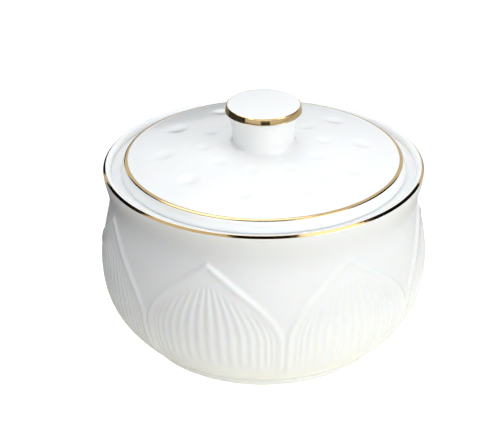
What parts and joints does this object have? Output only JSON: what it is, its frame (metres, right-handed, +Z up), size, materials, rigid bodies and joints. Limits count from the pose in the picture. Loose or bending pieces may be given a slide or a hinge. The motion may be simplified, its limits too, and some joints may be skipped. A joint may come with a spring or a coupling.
{
  "type": "soup bowl with lid",
  "caption": "Round porcelain soup bowl with a ring of ribbed lotus petals in low relief, gold lines, and a lid with a flat knob that rests on a ledge inside the lip.",
  "frame": {"origin": "centre of the circle that the foot ring stands on, the middle of the underside", "axes": "+Z up through the middle of the bowl and the knob, -Y towards the viewer, with the middle of the first petal 18.4 degrees left of -Y seen from the front"},
  "size_m": [0.1238, 0.1237, 0.0946],
  "materials": {
    "bowl_porcelain": "glossy clear glaze on white porcelain, gilded line on the lip",
    "lid_porcelain": "glossy clear glaze on white porcelain, gilded lines on the edge and the knob"
  },
  "bodies": {
    "root": {"bowl": "bowl_porcelain", "lid": "lid_porcelain"}
  },
  "joints": []
}
